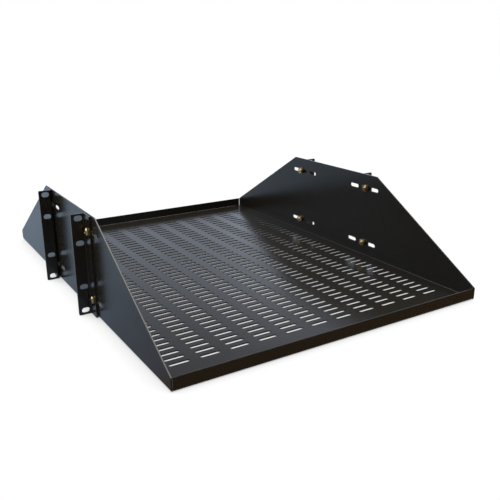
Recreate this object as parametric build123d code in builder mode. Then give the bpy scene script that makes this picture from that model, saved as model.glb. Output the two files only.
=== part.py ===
from build123d import *
from math import floor
import os

os.makedirs("parts", exist_ok=True)

# Vented shelf for a two-post rack. Millimetres, +X to the right, +Y to the back, +Z up.
# The origin is on the surface that the shelf stands on, below its middle.

# Spacings of the rack: the width over the ears, the height of one unit, the outer holes' distance
# from the ends of the units that the shelf takes, and the step from there to the inner holes
rack_width = 482.6
rack_unit = 44.45
outer_hole_end = 6.35
inner_hole_step = 31.75

# What the shelf takes of the rack, less a clearance in height, and what one ear takes of the width
height_units = 3
height_clearance = 1.25
ear_flange_width = 18.3

# Shelf body, one folded sheet
body_depth = 606.0
lip_height = 15.9
top_edge_length = 210.5
sheet = 1.5
bend_radius = 1.0
corner_gap = 1.5
relief_margin = 1.0

# Ventilation slots in the floor, in as many columns and rows as leave these margins
vent_length = 25.4
vent_width = 5.1
vent_pitch_x = 38.1
vent_pitch_y = 12.7
vent_side_margin = 12.0
vent_end_margin = 40.0

# Adjusting slots in the side panels: for each bolt a long one, and a short one further in
bolt_slot_length = 38.1
bolt_slot_y = 90.85
spare_slot_length = 19.05
slot_web = 6.8

# Ears: four bent angles, which stand a little lower than the body
ear_sheet = 2.5
ear_bend_radius = 1.0
ear_corner_radius = 1.5
ear_side_width = 21.5
ear_drop = 0.6

# Rack holes in the ears
rack_hole_inset = 8.75
rack_hole_length = 10.3
rack_hole_width = 7.0

# Where the ears' bolts sit: from the post face, and how far in from the middle of their slots
bolt_offset = 12.0
front_bolt_inset = 8.85
rear_bolt_inset = 4.05

# Fasteners
thread_diameter = 4.83
bolt_length = 9.53
head_diameter = 10.5
head_height = 3.3
head_rim_height = 1.2
head_flat_diameter = 6.6
recess_span = 5.2
recess_width = 1.3
recess_depth = 2.0
nut_across_flats = 9.53
nut_height = 3.2
washer_diameter = 11.1
washer_thickness = 1.2

# Clearances of the holes, on their diameter
slot_clearance = 0.77
ear_hole_clearance = 0.77
washer_clearance = 0.5
thread_clearance = 0.1

# What follows from the sizes above
body_width = rack_width - 2 * ear_flange_width
panel_outer_x = body_width / 2
panel_inner_x = panel_outer_x - sheet
ear_outer_x = panel_outer_x + ear_sheet
rack_edge_x = rack_width / 2
units_height = height_units * rack_unit
body_height = units_height - height_clearance
ear_height = units_height - height_clearance
floor_bottom_z = ear_drop
floor_top_z = floor_bottom_z + sheet
lip_top_z = floor_bottom_z + lip_height
panel_top_z = floor_bottom_z + body_height
outer_bend_radius = bend_radius + sheet
slot_width = thread_diameter + slot_clearance
spare_slot_y = bolt_slot_y - bolt_slot_length / 2 - slot_web - spare_slot_length / 2
outer_hole_pitch_z = units_height - 2 * outer_hole_end
inner_hole_pitch_z = outer_hole_pitch_z - 2 * inner_hole_step

# The bolts are one unit closer together than the units that the shelf takes
bolt_pitch_z = units_height - rack_unit
bolt_heights = {
    "lower": floor_bottom_z + (body_height - bolt_pitch_z) / 2,
    "upper": floor_bottom_z + (body_height + bolt_pitch_z) / 2,
}

# The two ends, each with the way from its post face to its bolts, and the bolts' place
ends = {
    "front": (-1, front_bolt_inset - bolt_slot_y),
    "rear": (1, bolt_slot_y - rear_bolt_inset),
}
sides = {"left": -1, "right": 1}


def slots_that_fit(room, slot, pitch):
    """Number of slots in a row of the given pitch that fit in the room."""
    return floor((room - slot) / pitch) + 1


def make_body():
    """Floor, side panels and end lips, folded up from one perforated sheet."""
    with BuildPart() as body:
        # Channel: the floor with a side panel bent up along each side
        with BuildSketch(Plane.XZ):
            with Locations((0, floor_bottom_z)):
                outside = Rectangle(body_width, body_height, align=(Align.CENTER, Align.MIN))
            fillet(outside.vertices().group_by(Axis.Y)[0], outer_bend_radius)
        extrude(amount=body_depth / 2, both=True)
        with BuildSketch(Plane.XZ):
            with Locations((0, floor_top_z)):
                inside = Rectangle(2 * panel_inner_x, body_height, align=(Align.CENTER, Align.MIN))
            fillet(inside.vertices().group_by(Axis.Y)[0], bend_radius)
        extrude(amount=body_depth / 2, both=True, mode=Mode.SUBTRACT)

        # Side outline: a short upright at each end, then a slope to the top edge
        with BuildSketch(Plane.YZ):
            with BuildLine():
                Polyline(
                    (-body_depth / 2, floor_bottom_z),
                    (-body_depth / 2, lip_top_z),
                    (-top_edge_length / 2, panel_top_z),
                    (top_edge_length / 2, panel_top_z),
                    (body_depth / 2, lip_top_z),
                    (body_depth / 2, floor_bottom_z),
                    close=True,
                )
            make_face()
        extrude(amount=body_width / 2, both=True, mode=Mode.INTERSECT)

        # Corner reliefs: between the panels, the floor is cut back past the lips' bends
        relief_start_y = body_depth / 2 - outer_bend_radius - relief_margin
        with BuildSketch(Plane.XY.offset(floor_bottom_z)):
            with Locations((0, -body_depth / 2), (0, body_depth / 2)):
                Rectangle(2 * panel_inner_x, body_depth - 2 * relief_start_y)
        extrude(amount=lip_height, mode=Mode.SUBTRACT)

        # Lips: a bend and an upright flange across each end, clear of the panels
        outer_corner = (body_depth / 2, floor_bottom_z)
        inner_corner = (body_depth / 2 - sheet, floor_top_z)
        with BuildSketch(Plane.YZ) as lip:
            with BuildLine():
                Polyline(
                    (relief_start_y, floor_bottom_z),
                    outer_corner,
                    (body_depth / 2, lip_top_z),
                    (body_depth / 2 - sheet, lip_top_z),
                    inner_corner,
                    (relief_start_y, floor_top_z),
                    close=True,
                )
            make_face()
            fillet(lip.vertices().sort_by_distance(outer_corner)[0], outer_bend_radius)
            fillet(lip.vertices().sort_by_distance(inner_corner)[0], bend_radius)
            mirror(about=Plane.YZ)
        extrude(amount=panel_inner_x - corner_gap, both=True)

        # Adjusting slots, cut through both side panels
        with BuildSketch(Plane.YZ):
            for height in bolt_heights.values():
                with Locations((-bolt_slot_y, height), (bolt_slot_y, height)):
                    SlotOverall(bolt_slot_length, slot_width)
                with Locations((-spare_slot_y, height), (spare_slot_y, height)):
                    SlotOverall(spare_slot_length, slot_width)
        extrude(amount=body_width / 2, both=True, mode=Mode.SUBTRACT)

        # Ventilation slots. They leave no split faces, so nothing is left to clean.
        floor_width = 2 * (panel_inner_x - bend_radius - vent_side_margin)
        floor_depth = body_depth - 2 * (outer_bend_radius + vent_end_margin)
        columns = slots_that_fit(floor_width, vent_length, vent_pitch_x)
        rows = slots_that_fit(floor_depth, vent_width, vent_pitch_y)
        with BuildSketch(Plane.XY.offset(floor_bottom_z)):
            with GridLocations(vent_pitch_x, vent_pitch_y, columns, rows):
                Rectangle(vent_length, vent_width)
        extrude(amount=sheet, mode=Mode.SUBTRACT, clean=False)
    return body


def make_ear(side, way, bolt_y):
    """Angle with one flange bolted to a side panel and the other against the rack's post."""
    post_y = bolt_y - way * bolt_offset
    bend_corner = (side * panel_outer_x, post_y)
    hollow_corner = (side * ear_outer_x, post_y + way * ear_sheet)
    with BuildPart() as ear:
        # Section of the angle, seen from above
        with BuildSketch(Plane.XY) as angle:
            with BuildLine():
                Polyline(
                    bend_corner,
                    (side * rack_edge_x, post_y),
                    (side * rack_edge_x, post_y + way * ear_sheet),
                    hollow_corner,
                    (side * ear_outer_x, post_y + way * ear_side_width),
                    (side * panel_outer_x, post_y + way * ear_side_width),
                    close=True,
                )
            make_face()
            fillet(angle.vertices().sort_by_distance(bend_corner)[0], ear_bend_radius + ear_sheet)
            fillet(angle.vertices().sort_by_distance(hollow_corner)[0], ear_bend_radius)
        extrude(amount=ear_height)

        # Free corners of both flanges
        outward = Axis((0, 0, 0), (side, 0, 0))
        endward = Axis((0, 0, 0), (0, way, 0))
        rack_corners = ear.edges().filter_by(Axis.Y).group_by(outward)[-1]
        side_corners = ear.edges().filter_by(Axis.X).group_by(endward)[-1]
        fillet(rack_corners + side_corners, ear_corner_radius)

        # Rack holes, two pairs about the middle height
        hole_x = side * (rack_edge_x - rack_hole_inset)
        with BuildSketch(Plane.XZ.offset(-post_y)):
            with Locations((hole_x, ear_height / 2)):
                with GridLocations(0, outer_hole_pitch_z, 1, 2):
                    SlotOverall(rack_hole_length, rack_hole_width)
                with GridLocations(0, inner_hole_pitch_z, 1, 2):
                    SlotOverall(rack_hole_length, rack_hole_width)
        extrude(amount=-way * ear_sheet, mode=Mode.SUBTRACT)

        # Bolt holes through the side flange
        with BuildSketch(Plane.YZ.offset(side * panel_outer_x)):
            with Locations([(bolt_y, height) for height in bolt_heights.values()]):
                Circle((thread_diameter + ear_hole_clearance) / 2)
        extrude(amount=side * ear_sheet, mode=Mode.SUBTRACT)
    return ear


def outward_plane(side, x, y, z):
    """Plane across a bolt's axis at the distance x from the middle, facing out of the side."""
    return Plane(origin=(side * x, y, z), x_dir=(0, 1, 0), z_dir=(side, 0, 0))


def make_bolt(side, y, z):
    """Pan-head bolt with a cross recess, its head on the outside of the ear."""
    seat = outward_plane(side, ear_outer_x, y, z)
    top = outward_plane(side, ear_outer_x + head_height, y, z)
    with BuildPart() as bolt:
        with BuildSketch(seat):
            Circle(thread_diameter / 2)
        extrude(amount=-bolt_length)
        with BuildSketch(seat):
            Circle(head_diameter / 2)
        extrude(amount=head_rim_height)
        with BuildSketch(seat.offset(head_rim_height)):
            Circle(head_diameter / 2)
        with BuildSketch(top):
            Circle(head_flat_diameter / 2)
        loft()
        with BuildSketch(top):
            Rectangle(recess_span, recess_width)
            Rectangle(recess_width, recess_span)
        extrude(amount=-recess_depth, mode=Mode.SUBTRACT)
    return bolt


def make_washer(side, y, z):
    """Plain washer on the inside of the panel, under the nut."""
    with BuildPart() as washer:
        with BuildSketch(outward_plane(side, panel_inner_x, y, z)):
            Circle(washer_diameter / 2)
            Circle((thread_diameter + washer_clearance) / 2, mode=Mode.SUBTRACT)
        extrude(amount=-washer_thickness)
    return washer


def make_nut(side, y, z):
    """Hexagon nut on the washer, with a flat side up."""
    with BuildPart() as nut:
        with BuildSketch(outward_plane(side, panel_inner_x - washer_thickness, y, z)):
            RegularPolygon(nut_across_flats / 2, 6, major_radius=False)
            Circle((thread_diameter + thread_clearance) / 2, mode=Mode.SUBTRACT)
        extrude(amount=-nut_height)
    return nut


def save(piece, name):
    """Label a finished piece and write it to its file."""
    piece.part.label = name
    export_step(piece.part, f"parts/{name}.step")


save(make_body(), "shelf_body")

for end, (way, bolt_y) in ends.items():
    for side_name, side in sides.items():
        corner = f"{end}_{side_name}"
        save(make_ear(side, way, bolt_y), f"{corner}_ear")
        for level, bolt_z in bolt_heights.items():
            save(make_bolt(side, bolt_y, bolt_z), f"{corner}_{level}_bolt")
            save(make_washer(side, bolt_y, bolt_z), f"{corner}_{level}_washer")
            save(make_nut(side, bolt_y, bolt_z), f"{corner}_{level}_nut")
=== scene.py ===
import math

import bmesh
import bpy
from mathutils import Matrix, Vector


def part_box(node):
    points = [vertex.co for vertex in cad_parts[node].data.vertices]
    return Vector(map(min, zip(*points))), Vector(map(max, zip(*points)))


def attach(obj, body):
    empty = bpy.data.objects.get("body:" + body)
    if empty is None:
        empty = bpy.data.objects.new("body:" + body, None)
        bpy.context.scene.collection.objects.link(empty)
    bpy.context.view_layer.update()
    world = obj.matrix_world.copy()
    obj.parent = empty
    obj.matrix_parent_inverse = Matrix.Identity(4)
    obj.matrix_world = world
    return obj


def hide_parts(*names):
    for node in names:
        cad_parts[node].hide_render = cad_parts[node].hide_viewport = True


# Finish, light, round slot ends and fine fastener detail for the vented rack shelf.
# Metres, in the model's own frame, and angles in degrees.

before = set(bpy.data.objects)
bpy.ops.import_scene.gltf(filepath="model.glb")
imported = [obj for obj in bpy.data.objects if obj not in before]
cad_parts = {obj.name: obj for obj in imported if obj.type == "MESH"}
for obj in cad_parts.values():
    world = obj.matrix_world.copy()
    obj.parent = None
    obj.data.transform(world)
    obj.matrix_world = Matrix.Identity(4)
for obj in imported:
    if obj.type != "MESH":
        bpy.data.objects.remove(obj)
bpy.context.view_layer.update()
scene = bpy.context.scene

# Camera
CAMERA_PLACE = (-0.44587, -0.80612, 0.3288)
CAMERA_YAW = 32.03
CAMERA_PITCH = -18.29
CAMERA_ROLL = 0.08
CAMERA_LENS = 45.31
SENSOR_WIDTH = 36.0
CLIP_START = 0.01
CLIP_END = 100

# Gloss black powder coat, with blunted edges and an orange peel
COAT_COLOUR = (0.0120, 0.0096, 0.0060, 1)
COAT_IOR = 1.5
COAT_ROUGHNESS = (0.19, 0.27)
COAT_DRIFT_SCALE = 14
COAT_EDGE_RADIUS = 0.0003
COAT_EDGE_SAMPLES = 6
PEEL_SCALE = 700
PEEL_DETAIL = 2
PEEL_STRENGTH = 0.06
PEEL_DEPTH = 0.0001

# Yellow chromated zinc
ZINC_COLOURS = ((0.35, (0.48, 0.31, 0.13)), (0.7, (0.70, 0.57, 0.35)))
ZINC_DRIFT_SCALE = 260
ZINC_ROUGHNESS = (0.12, 0.22)
ZINC_GRAIN_SCALE = 3000

# Table: its own colour, and its shadow from the darkest place to the clear table, as far as it reaches
TABLE_SIZE = 12
TABLE_COLOUR = (0.8, 0.8, 0.8, 1)
SHADOW_REACH = 0.04
SHADOW_SAMPLES = 8
SHADOW_COLOURS = (
    (0.0, (0.1, 0.09, 0.08)),
    (0.1, (0.56, 0.56, 0.54)),
    (0.35, (0.62, 0.62, 0.62)),
    (0.6, (0.95, 0.95, 0.95)),
    (0.85, (1.02, 1.02, 1.02)),
)

# Table as the shelf mirrors it, from a place along Y at the front to one at the back
MIRRORED_FRONT = -0.75
MIRRORED_BACK = 0.45
MIRRORED_COLOURS = (
    (0.0, (0.3, 0.27, 0.23)),
    (0.3, (0.17, 0.09, 0.03)),
    (0.36, (0.17, 0.09, 0.03)),
    (0.42, (0.2, 0.22, 0.28)),
    (0.52, (0.22, 0.27, 0.36)),
    (0.81, (0.38, 0.49, 0.61)),
    (1.0, (0.44, 0.56, 0.71)),
)

# Room: its even light, and what the shelf mirrors of it, from the horizon up to overhead
AMBIENT_COLOUR = (0.85, 0.92, 1.0, 1)
AMBIENT_STRENGTH = 0.5
WHITE = (1, 1, 1, 1)
ROOM_COLOURS = (
    (0.0, (0.6, 0.68, 0.82)),
    (0.28, (0.78, 0.88, 1.06)),
    (0.36, (0.58, 0.64, 0.76)),
    (0.46, (0.23, 0.26, 0.33)),
    (0.66, (0.16, 0.17, 0.21)),
    (0.72, (1.5, 1.45, 1.35)),
    (0.82, (1.5, 1.45, 1.35)),
    (0.88, (0.28, 0.28, 0.3)),
)

# Mirrored room's strength: between two values of a direction's Y or X, it goes from one level to another
ROOM_TO_BACK = ((-0.3, 0.3), (0.5, 1.0))
ROOM_TO_RIGHT = ((0.45, 0.65), (1.0, 2.0))

# Square soft lights: name, place, target, size, power and colour
LIGHTS = (
    ("left_key", (-1.8, 0.3, 1.3), (0, 0, 0.05), 1.2, 18, (0.9, 0.95, 1.0)),
    ("overhead", (0.4, 0.3, 2.0), (0, 0, 0), 1.6, 40, (1.0, 0.98, 0.95)),
)

# Bolt: pan head with a cross recess, and a rolled thread on the end that takes the nut
BOLT_SIDES = 48
HEAD_HEIGHT = 0.0033
HEAD_SIDE = 0.0010
HEAD_EDGE = 0.00015
DOME_STEPS = 12
DOME_POWER = 0.7
SHANK_RADIUS = 0.002415
THREAD_PITCH = 0.000794
THREAD_DEPTH = 0.00045
THREAD_START = 0.0040
THREAD_STEPS = 12
TIP_CHAMFER = 0.0008
RECESS_SPAN = 0.0052
RECESS_WIDTH = 0.0013
RECESS_FOOT_SPAN = 0.0024
RECESS_FOOT_WIDTH = 0.0008
RECESS_DEPTH = 0.0020
RECESS_OVERSHOOT = 0.0002

# Crest and flank of the thread, as shares of half its pitch
THREAD_CREST = 0.12
THREAD_FLANK = 0.76

# Nut and washer
NUT_SIDES = 96
NUT_CHAMFER_RADIUS = 0.0043
NUT_CHAMFER_ANGLE = 30
NUT_BORE = 0.00243
NUT_SINK = 0.00035
WASHER_SIDES = 72
WASHER_BORE = 0.002665
WASHER_EDGE = 0.00015

# Turn from one corner's fasteners to the next, as after tightening by hand, and of a nut from its bolt
CORNER_TURN = 47
NUT_TURN = 20

# Ventilation slots of the floor, centred on it. Their ends are square in the solid, and fills round them.
SHEET_THICKNESS = 0.0015
VENT_LENGTH = 0.0254
VENT_WIDTH = 0.0051
VENT_PITCH_X = 0.0381
VENT_PITCH_Y = 0.0127
VENT_COLUMNS = 11
VENT_ROWS = 41
VENT_END_STEPS = 10
FILL_SINK = 0.0005
WELD_DISTANCE = 1e-6

# Smooth shading: the turns below which an edge is smooth, and how square to an axis a flat face is
FASTENER_SMOOTH = 25
BEND_SMOOTH = 30
FLAT_SMOOTH = 0.5
FLAT_NORMAL = 0.9999


def make_camera():
    """Camera at the photograph's place and angle."""
    data = bpy.data.cameras.new("camera")
    data.lens = CAMERA_LENS
    data.sensor_width = SENSOR_WIDTH
    data.clip_start = CLIP_START
    data.clip_end = CLIP_END
    camera = bpy.data.objects.new("camera", data)
    scene.collection.objects.link(camera)
    turn = Matrix.Rotation(math.radians(-CAMERA_YAW), 4, "Z")
    tilt = Matrix.Rotation(math.radians(90 + CAMERA_PITCH), 4, "X")
    roll = Matrix.Rotation(math.radians(-CAMERA_ROLL), 4, "Z")
    camera.matrix_world = Matrix.Translation(CAMERA_PLACE) @ turn @ tilt @ roll
    scene.camera = camera


# Shader nodes


def node(tree, kind, **values):
    """New shader node, with its sockets or properties set by name."""
    made = tree.nodes.new(kind)
    for name, value in values.items():
        if name in made.inputs:
            made.inputs[name].default_value = value
        else:
            setattr(made, name, value)
    return made


def noise(tree, vector, scale):
    """Noise texture over a vector."""
    made = node(tree, "ShaderNodeTexNoise", Scale=scale)
    tree.links.new(vector, made.inputs["Vector"])
    return made


def colour_ramp(tree, source, stops):
    """Colour from a value, by stops that are pairs of place and colour."""
    ramp = node(tree, "ShaderNodeValToRGB")
    elements = ramp.color_ramp.elements
    while len(elements) < len(stops):
        elements.new(1.0)
    for element, (place, colour) in zip(elements, stops):
        element.position = place
        element.color = (*colour, 1)
    tree.links.new(source, ramp.inputs["Fac"])
    return ramp.outputs["Color"]


def map_range(tree, source, given, wanted):
    """Value moved from its given range to the wanted one."""
    made = node(tree, "ShaderNodeMapRange")
    made.inputs["From Min"].default_value = given[0]
    made.inputs["From Max"].default_value = given[1]
    made.inputs["To Min"].default_value = wanted[0]
    made.inputs["To Max"].default_value = wanted[1]
    tree.links.new(source, made.inputs["Value"])
    return made.outputs["Result"]


def split_rays(tree, plain, seen, mirrored):
    """Shader that is one thing to the camera, one to reflections, and plain to all other rays."""
    path = node(tree, "ShaderNodeLightPath")
    for_camera = node(tree, "ShaderNodeMixShader")
    for_mirror = node(tree, "ShaderNodeMixShader")
    tree.links.new(path.outputs["Is Camera Ray"], for_camera.inputs["Fac"])
    tree.links.new(plain, for_camera.inputs[1])
    tree.links.new(seen, for_camera.inputs[2])
    tree.links.new(path.outputs["Is Glossy Ray"], for_mirror.inputs["Fac"])
    tree.links.new(for_camera.outputs["Shader"], for_mirror.inputs[1])
    tree.links.new(mirrored, for_mirror.inputs[2])
    return for_mirror.outputs["Shader"]


# Materials


def new_material(name):
    """Material with a Principled shader. Returns it, its tree, the shader and the object's coordinates."""
    material = bpy.data.materials.new(name)
    material.use_nodes = True
    tree = material.node_tree
    place = node(tree, "ShaderNodeTexCoord")
    return material, tree, tree.nodes["Principled BSDF"], place.outputs["Object"]


def powder_coat():
    """Gloss black powder coat: a faint orange peel, rounded edges, and gloss that drifts a little."""
    material, tree, shader, place = new_material("black_powder_coat")
    shader.inputs["Base Color"].default_value = COAT_COLOUR
    shader.inputs["IOR"].default_value = COAT_IOR
    edges = node(tree, "ShaderNodeBevel", samples=COAT_EDGE_SAMPLES, Radius=COAT_EDGE_RADIUS)
    peel = noise(tree, place, PEEL_SCALE)
    peel.inputs["Detail"].default_value = PEEL_DETAIL
    bump = node(tree, "ShaderNodeBump", Strength=PEEL_STRENGTH, Distance=PEEL_DEPTH)
    drift = noise(tree, place, COAT_DRIFT_SCALE)
    roughness = map_range(tree, drift.outputs["Fac"], (0, 1), COAT_ROUGHNESS)
    tree.links.new(peel.outputs["Fac"], bump.inputs["Height"])
    tree.links.new(edges.outputs["Normal"], bump.inputs["Normal"])
    tree.links.new(bump.outputs["Normal"], shader.inputs["Normal"])
    tree.links.new(roughness, shader.inputs["Roughness"])
    return material


def yellow_zinc():
    """Yellow chromated zinc, with the faint drift of colour that such plating has."""
    material, tree, shader, place = new_material("yellow_zinc")
    shader.inputs["Metallic"].default_value = 1.0
    drift = noise(tree, place, ZINC_DRIFT_SCALE)
    grain = noise(tree, place, ZINC_GRAIN_SCALE)
    colour = colour_ramp(tree, drift.outputs["Fac"], ZINC_COLOURS)
    roughness = map_range(tree, grain.outputs["Fac"], (0, 1), ZINC_ROUGHNESS)
    tree.links.new(colour, shader.inputs["Base Color"])
    tree.links.new(roughness, shader.inputs["Roughness"])
    return material


# Studio


def make_floor():
    """Pale table: white to the camera but for a faint shadow, and dimmer where the shelf mirrors it.

    The coat mirrors a table that is cool and bright at the back, dark and warm just before the shelf,
    and a little paler again towards the camera.
    """
    bpy.ops.mesh.primitive_plane_add(size=TABLE_SIZE, location=(0, 0, 0))
    floor = bpy.context.object
    floor.name = "studio_floor"
    material = bpy.data.materials.new("studio_floor")
    material.use_nodes = True
    tree = material.node_tree
    tree.nodes.clear()
    output = node(tree, "ShaderNodeOutputMaterial")
    matt = node(tree, "ShaderNodeBsdfDiffuse", Color=TABLE_COLOUR)

    nearness = node(tree, "ShaderNodeAmbientOcclusion", samples=SHADOW_SAMPLES, Distance=SHADOW_REACH)
    shaded = node(tree, "ShaderNodeEmission")
    shadow = colour_ramp(tree, nearness.outputs["AO"], SHADOW_COLOURS)
    tree.links.new(shadow, shaded.inputs["Color"])

    place = node(tree, "ShaderNodeTexCoord")
    split = node(tree, "ShaderNodeSeparateXYZ")
    mirror_glow = node(tree, "ShaderNodeEmission")
    tree.links.new(place.outputs["Object"], split.inputs["Vector"])
    depth = map_range(tree, split.outputs["Y"], (MIRRORED_FRONT, MIRRORED_BACK), (0, 1))
    mirrored = colour_ramp(tree, depth, MIRRORED_COLOURS)
    tree.links.new(mirrored, mirror_glow.inputs["Color"])

    surface = split_rays(
        tree, matt.outputs["BSDF"], shaded.outputs["Emission"], mirror_glow.outputs["Emission"]
    )
    tree.links.new(surface, output.inputs["Surface"])
    floor.data.materials.append(material)


def make_world():
    """White to the camera, and an even cool light.

    The shelf mirrors a pale band above the horizon, a dim wall, a bright strip high up and a dim ceiling.
    All of it is brighter towards the back and the far right.
    """
    world = bpy.data.worlds.new("studio")
    scene.world = world
    world.use_nodes = True
    tree = world.node_tree
    tree.nodes.clear()
    output = node(tree, "ShaderNodeOutputWorld")
    ambient = node(tree, "ShaderNodeBackground", Color=AMBIENT_COLOUR, Strength=AMBIENT_STRENGTH)
    white = node(tree, "ShaderNodeBackground", Color=WHITE)

    place = node(tree, "ShaderNodeTexCoord")
    split = node(tree, "ShaderNodeSeparateXYZ")
    level = node(tree, "ShaderNodeMath", operation="MULTIPLY")
    room = node(tree, "ShaderNodeBackground")
    tree.links.new(place.outputs["Generated"], split.inputs["Vector"])
    colour = colour_ramp(tree, split.outputs["Z"], ROOM_COLOURS)
    to_back = map_range(tree, split.outputs["Y"], *ROOM_TO_BACK)
    to_right = map_range(tree, split.outputs["X"], *ROOM_TO_RIGHT)
    tree.links.new(to_back, level.inputs[0])
    tree.links.new(to_right, level.inputs[1])
    tree.links.new(colour, room.inputs["Color"])
    tree.links.new(level.outputs["Value"], room.inputs["Strength"])

    surface = split_rays(
        tree, ambient.outputs["Background"], white.outputs["Background"], room.outputs["Background"]
    )
    tree.links.new(surface, output.inputs["Surface"])


def area_light(name, place, target, size, power, colour):
    """Square soft light that faces the target."""
    data = bpy.data.lights.new(name, "AREA")
    data.size = size
    data.energy = power
    data.color = colour
    light = bpy.data.objects.new(name, data)
    scene.collection.objects.link(light)
    light.location = place
    way = Vector(target) - Vector(place)
    light.rotation_mode = "QUATERNION"
    light.rotation_quaternion = way.to_track_quat("-Z", "Y")


# Meshes


def ring(radius, height, count):
    """Points round the axis at a height. The radius is a number, or a function of the angle."""
    points = []
    for step in range(count):
        angle = math.tau * step / count
        reach = radius(angle) if callable(radius) else radius
        points.append((reach * math.cos(angle), reach * math.sin(angle), height))
    return points


def add_skin(mesh, rings, closed):
    """Add faces through rings of points to a bmesh, closed on themselves or capped at both ends."""
    rows = [[mesh.verts.new(point) for point in points] for points in rings]
    if closed:
        rows.append(rows[0])
    else:
        mesh.faces.new(rows[0])
        mesh.faces.new(rows[-1])
    for row, following in zip(rows, rows[1:]):
        for step in range(len(row)):
            after = (step + 1) % len(row)
            mesh.faces.new((row[step], row[after], following[after], following[step]))


def mesh_data(mesh, name):
    """Turn a bmesh into a mesh, and free it."""
    data = bpy.data.meshes.new(name)
    mesh.to_mesh(data)
    mesh.free()
    return data


def skin(name, rings, closed):
    """Mesh through rings of points, closed on itself or capped at both ends."""
    mesh = bmesh.new()
    add_skin(mesh, rings, closed)
    bmesh.ops.recalc_face_normals(mesh, faces=mesh.faces)
    return mesh_data(mesh, name)


def combine(data, others, operation):
    """Mesh of data with the other meshes cut out of it or joined to it."""
    whole = bpy.data.objects.new("whole", data)
    scene.collection.objects.link(whole)
    tools = []
    for other in others:
        tool = bpy.data.objects.new("tool", other)
        scene.collection.objects.link(tool)
        tools.append(tool)
        step = whole.modifiers.new("step", "BOOLEAN")
        step.operation = operation
        step.solver = "EXACT"
        step.object = tool
    bpy.context.view_layer.update()
    depsgraph = bpy.context.evaluated_depsgraph_get()
    result = bpy.data.meshes.new_from_object(whole.evaluated_get(depsgraph))
    for spent in [whole, *tools]:
        bpy.data.objects.remove(spent)
    return result


# Fasteners. Each is made round its own +Z axis, which then points along the bolt.


def thread_rings(length):
    """Rings of the bolt's thread, from its chamfered tip up to where the thread starts."""
    rings = []
    height = -length
    while height < -THREAD_START:
        end_radius = SHANK_RADIUS - TIP_CHAMFER + height + length

        def reach(angle):
            turn = (height / THREAD_PITCH - angle / math.tau) % 1
            slope = (abs(2 * turn - 1) - THREAD_CREST) / THREAD_FLANK
            cut = THREAD_DEPTH * min(1, max(0, slope))
            return min(SHANK_RADIUS - cut, end_radius)

        rings.append(ring(reach, height, BOLT_SIDES))
        height += THREAD_PITCH / THREAD_STEPS
    return rings


def head_rings(radius):
    """Rings from the thread's start up the shank and over the domed pan head, to near its top's middle."""
    rings = [
        ring(SHANK_RADIUS, -THREAD_START, BOLT_SIDES),
        ring(SHANK_RADIUS, 0, BOLT_SIDES),
        ring(radius - HEAD_EDGE, 0, BOLT_SIDES),
        ring(radius, HEAD_EDGE, BOLT_SIDES),
        ring(radius, HEAD_SIDE, BOLT_SIDES),
    ]
    for step in range(1, DOME_STEPS):
        rise = math.radians(90 * step / DOME_STEPS)
        reach = radius * math.cos(rise) ** DOME_POWER
        height = HEAD_SIDE + (HEAD_HEIGHT - HEAD_SIDE) * math.sin(rise)
        rings.append(ring(reach, height, BOLT_SIDES))
    return rings


def recess_wing(turned):
    """Tapered block that cuts one of the two crossing slots of the recess."""
    ends = (
        (HEAD_HEIGHT - RECESS_DEPTH, RECESS_FOOT_SPAN, RECESS_FOOT_WIDTH),
        (HEAD_HEIGHT + RECESS_OVERSHOOT, RECESS_SPAN, RECESS_WIDTH),
    )
    rings = []
    for height, span, width in ends:
        if turned:
            span, width = width, span
        corners = ((-1, -1), (1, -1), (1, 1), (-1, 1))
        rings.append([(x * span / 2, y * width / 2, height) for x, y in corners])
    return skin("recess_wing", rings, closed=False)


def bolt_mesh(length, head_radius):
    """Whole bolt, with its head's seat at height 0."""
    blank = skin("bolt", thread_rings(length) + head_rings(head_radius), closed=False)
    return combine(blank, (recess_wing(False), recess_wing(True)), "DIFFERENCE")


def nut_mesh(across_flats, height):
    """Hexagon nut with chamfered corners and a countersunk bore, its seat at height 0."""

    def flank(angle):
        return across_flats / 2 / math.cos((angle + math.pi / 6) % (math.pi / 3) - math.pi / 6)

    def chamfered(seat, way):
        points = []
        for x, y, z in ring(flank, seat, NUT_SIDES):
            drop = (math.hypot(x, y) - NUT_CHAMFER_RADIUS) * math.tan(math.radians(NUT_CHAMFER_ANGLE))
            points.append((x, y, z - way * drop))
        return points

    rings = [
        ring(NUT_BORE, NUT_SINK, NUT_SIDES),
        ring(NUT_BORE, height - NUT_SINK, NUT_SIDES),
        ring(NUT_BORE + NUT_SINK, height, NUT_SIDES),
        ring(NUT_CHAMFER_RADIUS, height, NUT_SIDES),
        chamfered(height, 1),
        chamfered(0, -1),
        ring(NUT_CHAMFER_RADIUS, 0, NUT_SIDES),
        ring(NUT_BORE + NUT_SINK, 0, NUT_SIDES),
    ]
    return skin("nut", rings, closed=True)


def washer_mesh(radius, thickness):
    """Plain washer with blunted edges, its seat at height 0."""
    section = (
        (WASHER_BORE, WASHER_EDGE),
        (WASHER_BORE, thickness - WASHER_EDGE),
        (WASHER_BORE + WASHER_EDGE, thickness),
        (radius - WASHER_EDGE, thickness),
        (radius, thickness - WASHER_EDGE),
        (radius, WASHER_EDGE),
        (radius - WASHER_EDGE, 0),
        (WASHER_BORE + WASHER_EDGE, 0),
    )
    rings = [ring(reach, height, WASHER_SIDES) for reach, height in section]
    return skin("washer", rings, closed=True)


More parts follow.
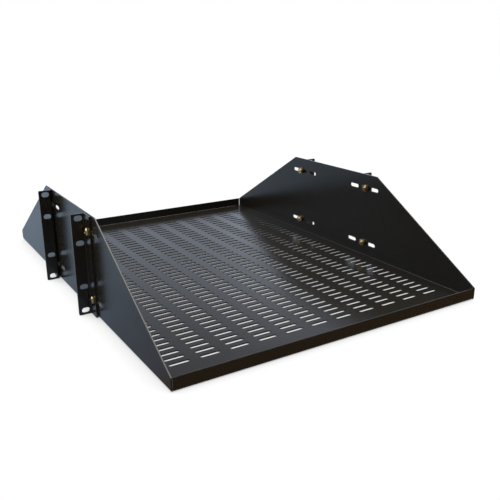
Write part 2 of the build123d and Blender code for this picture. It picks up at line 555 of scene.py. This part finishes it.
def place_fastener(name, data, seat_x, way, turn, material):
    """Put a fastener's mesh in the place of its CAD node, its axis along X from the seat."""
    low, high = (Vector(corner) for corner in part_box(name))
    middle = (low + high) / 2
    axes = Matrix(((0, 0, way), (1, 0, 0), (0, way, 0))).to_4x4()
    spin = Matrix.Rotation(math.radians(turn), 4, "Z")
    piece = bpy.data.objects.new(name + "_detail", data.copy())
    piece.data.transform(Matrix.Translation((seat_x, middle.y, middle.z)) @ axes @ spin)
    piece.data.materials.clear()
    piece.data.materials.append(material)
    piece.data.shade_smooth()
    piece.data.set_sharp_from_angle(angle=math.radians(FASTENER_SMOOTH))
    scene.collection.objects.link(piece)
    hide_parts(name)
    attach(piece, "root")


def dress_fasteners(material):
    """Detailed bolts, washers and nuts in place of the plain ones."""
    corners = [name.removesuffix("_bolt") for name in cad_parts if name.endswith("_bolt")]
    low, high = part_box(corners[0] + "_bolt")
    bolt = bolt_mesh(high[0] - low[0] - HEAD_HEIGHT, (high[2] - low[2]) / 2)
    low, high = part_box(corners[0] + "_nut")
    nut = nut_mesh(high[2] - low[2], high[0] - low[0])
    low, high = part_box(corners[0] + "_washer")
    washer = washer_mesh((high[2] - low[2]) / 2, high[0] - low[0])
    for count, corner in enumerate(corners):
        side = -1 if "_left_" in corner else 1
        outer = 1 if side > 0 else 0
        turn = CORNER_TURN * count
        head_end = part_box(corner + "_bolt")[outer][0]
        place_fastener(corner + "_bolt", bolt, head_end - side * HEAD_HEIGHT, side, turn, material)
        washer_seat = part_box(corner + "_washer")[outer][0]
        place_fastener(corner + "_washer", washer, washer_seat, -side, turn, material)
        nut_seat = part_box(corner + "_nut")[outer][0]
        place_fastener(corner + "_nut", nut, nut_seat, -side, turn + NUT_TURN, material)


# Shelf body


def add_end_fill(mesh, middle, way, base):
    """Add a block that makes one end of a ventilation slot round. It reaches into the sheet round it."""
    radius = VENT_WIDTH / 2
    reach = VENT_LENGTH / 2
    inner = reach - radius
    outline = [
        (inner, radius + FILL_SINK),
        (reach + FILL_SINK, radius + FILL_SINK),
        (reach + FILL_SINK, -radius - FILL_SINK),
        (inner, -radius - FILL_SINK),
    ]
    for step in range(VENT_END_STEPS + 1):
        angle = math.pi * (step / VENT_END_STEPS - 0.5)
        outline.append((inner + radius * math.cos(angle), radius * math.sin(angle)))
    lower = [(middle[0] + way * x, middle[1] + y, base) for x, y in outline]
    upper = [(x, y, base + SHEET_THICKNESS) for x, y, z in lower]
    add_skin(mesh, (lower, upper), closed=False)


def is_flat(face):
    """Whether a face lies square to the model's axes, as the sheet does between its bends."""
    return max(abs(part) for part in face.normal) > FLAT_NORMAL


def smooth_bends(data):
    """Smooth the bends and the slots' ends, and keep the flat sheet's own normals up to them."""
    sheet = bmesh.new()
    sheet.from_mesh(data)
    for face in sheet.faces:
        face.smooth = True
    for edge in sheet.edges:
        one, two = edge.link_faces
        turn = math.degrees(one.normal.angle(two.normal, 0))
        beside_flat = is_flat(one) or is_flat(two)
        edge.smooth = turn < (FLAT_SMOOTH if beside_flat else BEND_SMOOTH)
    sheet.to_mesh(data)
    sheet.free()


def dress_body(material):
    """Shelf body with round ends to its ventilation slots, in place of the one with square ends."""
    sheet = bmesh.new()
    sheet.from_mesh(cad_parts["shelf_body"].data)
    bmesh.ops.remove_doubles(sheet, verts=sheet.verts, dist=WELD_DISTANCE)
    sheet_data = mesh_data(sheet, "sheet")
    fills = bmesh.new()
    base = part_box("shelf_body")[0][2]
    for column in range(VENT_COLUMNS):
        for row in range(VENT_ROWS):
            x = VENT_PITCH_X * (column - (VENT_COLUMNS - 1) / 2)
            y = VENT_PITCH_Y * (row - (VENT_ROWS - 1) / 2)
            add_end_fill(fills, (x, y), -1, base)
            add_end_fill(fills, (x, y), 1, base)
    bmesh.ops.recalc_face_normals(fills, faces=fills.faces)
    fill_data = mesh_data(fills, "fills")
    body = bpy.data.objects.new("shelf_body_detail", combine(sheet_data, (fill_data,), "UNION"))
    body.data.materials.clear()
    body.data.materials.append(material)
    smooth_bends(body.data)
    scene.collection.objects.link(body)
    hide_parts("shelf_body")
    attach(body, "root")


make_camera()
make_world()
make_floor()
for light in LIGHTS:
    area_light(*light)

coat = powder_coat()
zinc = yellow_zinc()
for name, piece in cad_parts.items():
    piece.data.materials.clear()
    fastener = name.endswith(("bolt", "washer", "nut"))
    piece.data.materials.append(zinc if fastener else coat)
dress_body(coat)
dress_fasteners(zinc)

scene.view_settings.view_transform = "Standard"
